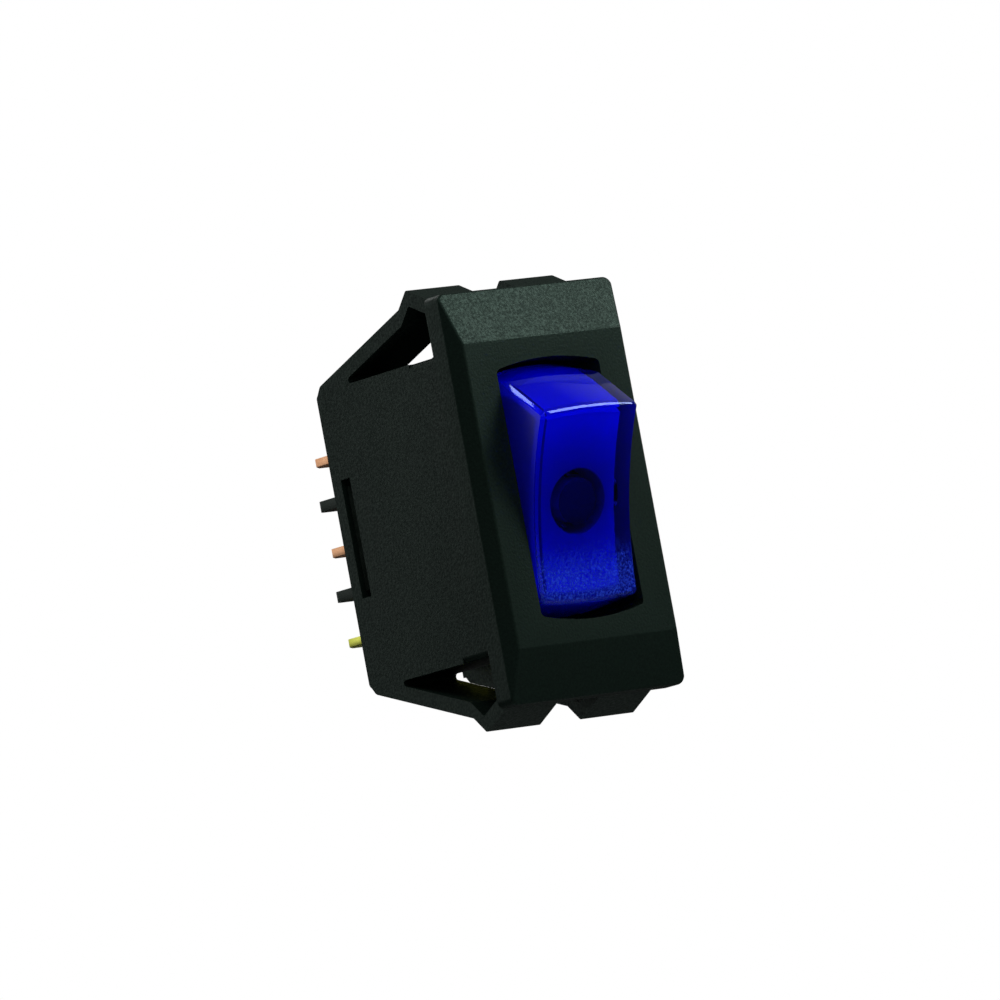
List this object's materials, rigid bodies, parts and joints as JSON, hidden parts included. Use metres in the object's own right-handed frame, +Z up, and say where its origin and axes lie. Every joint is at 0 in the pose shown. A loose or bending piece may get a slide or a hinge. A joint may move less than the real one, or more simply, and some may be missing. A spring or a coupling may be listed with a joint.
{
  "type": "illuminated rocker switch",
  "caption": "Panel-mount illuminated rocker switch: black bezel and snap-in housing, translucent blue rocker over a see-saw contact and lamp, and flat blade terminals behind.",
  "frame": {"origin": "centre of the bezel's back face, in the plane of the panel's front", "axes": "+X across the bezel to the right as seen from the front, +Y back through the panel, +Z up along the bezel"},
  "size_m": [0.02, 0.0394, 0.041],
  "materials": {
    "black_plastic": "fine moulded grain",
    "base_plastic": "smooth moulded",
    "blue_plastic": "polished, translucent",
    "plunger_plastic": "smooth moulded",
    "spring_steel": "drawn wire",
    "copper": "rolled copper",
    "brass": "rolled brass",
    "silver": "silver alloy",
    "lamp_resin": "clear resin",
    "holder_plastic": "natural nylon",
    "resistor_body": "lacquered",
    "sleeve_plastic": "fluoropolymer"
  },
  "bodies": {
    "root": {"housing": "black_plastic", "terminal_base": "base_plastic", "load_terminal": "copper", "supply_terminal": "copper", "ground_terminal": "brass", "ground_clip": "brass", "fixed_contact": "silver", "lamp": "lamp_resin", "lamp_holder": "holder_plastic", "resistor": "resistor_body", "lead_sleeve": "sleeve_plastic"},
    "rocker": {"rocker": "blue_plastic", "plunger_spring": "spring_steel"},
    "plunger": {"plunger": "plunger_plastic"},
    "contact_bar": {"contact_bar": "copper", "moving_contact": "silver"}
  },
  "joints": [
    {"name": "rocker_tilt", "type": "hinge", "parent": "root", "child": "rocker", "pos_m": [0, 0.00036, 0], "axis": [-1, 0, 0], "range_deg": [0, 34.4]},
    {"name": "contact_bar_tilt", "type": "hinge", "parent": "root", "child": "contact_bar", "pos_m": [0, 0.014, 0], "axis": [1, 0, 0], "range_deg": [0, 12]},
    {"name": "plunger_slide", "type": "slide", "parent": "rocker", "child": "plunger", "axis": [0, 0.9553, 0.2957], "range_m": [-0.0012, 0], "stiffness_N_per_m": 1500, "springref_m": 0.0015, "deforming": ["plunger_spring"]}
  ],
  "couplings": [
    {"joint": "contact_bar_tilt", "follows": "rocker_tilt", "ratio": 0.3488}
  ]
}
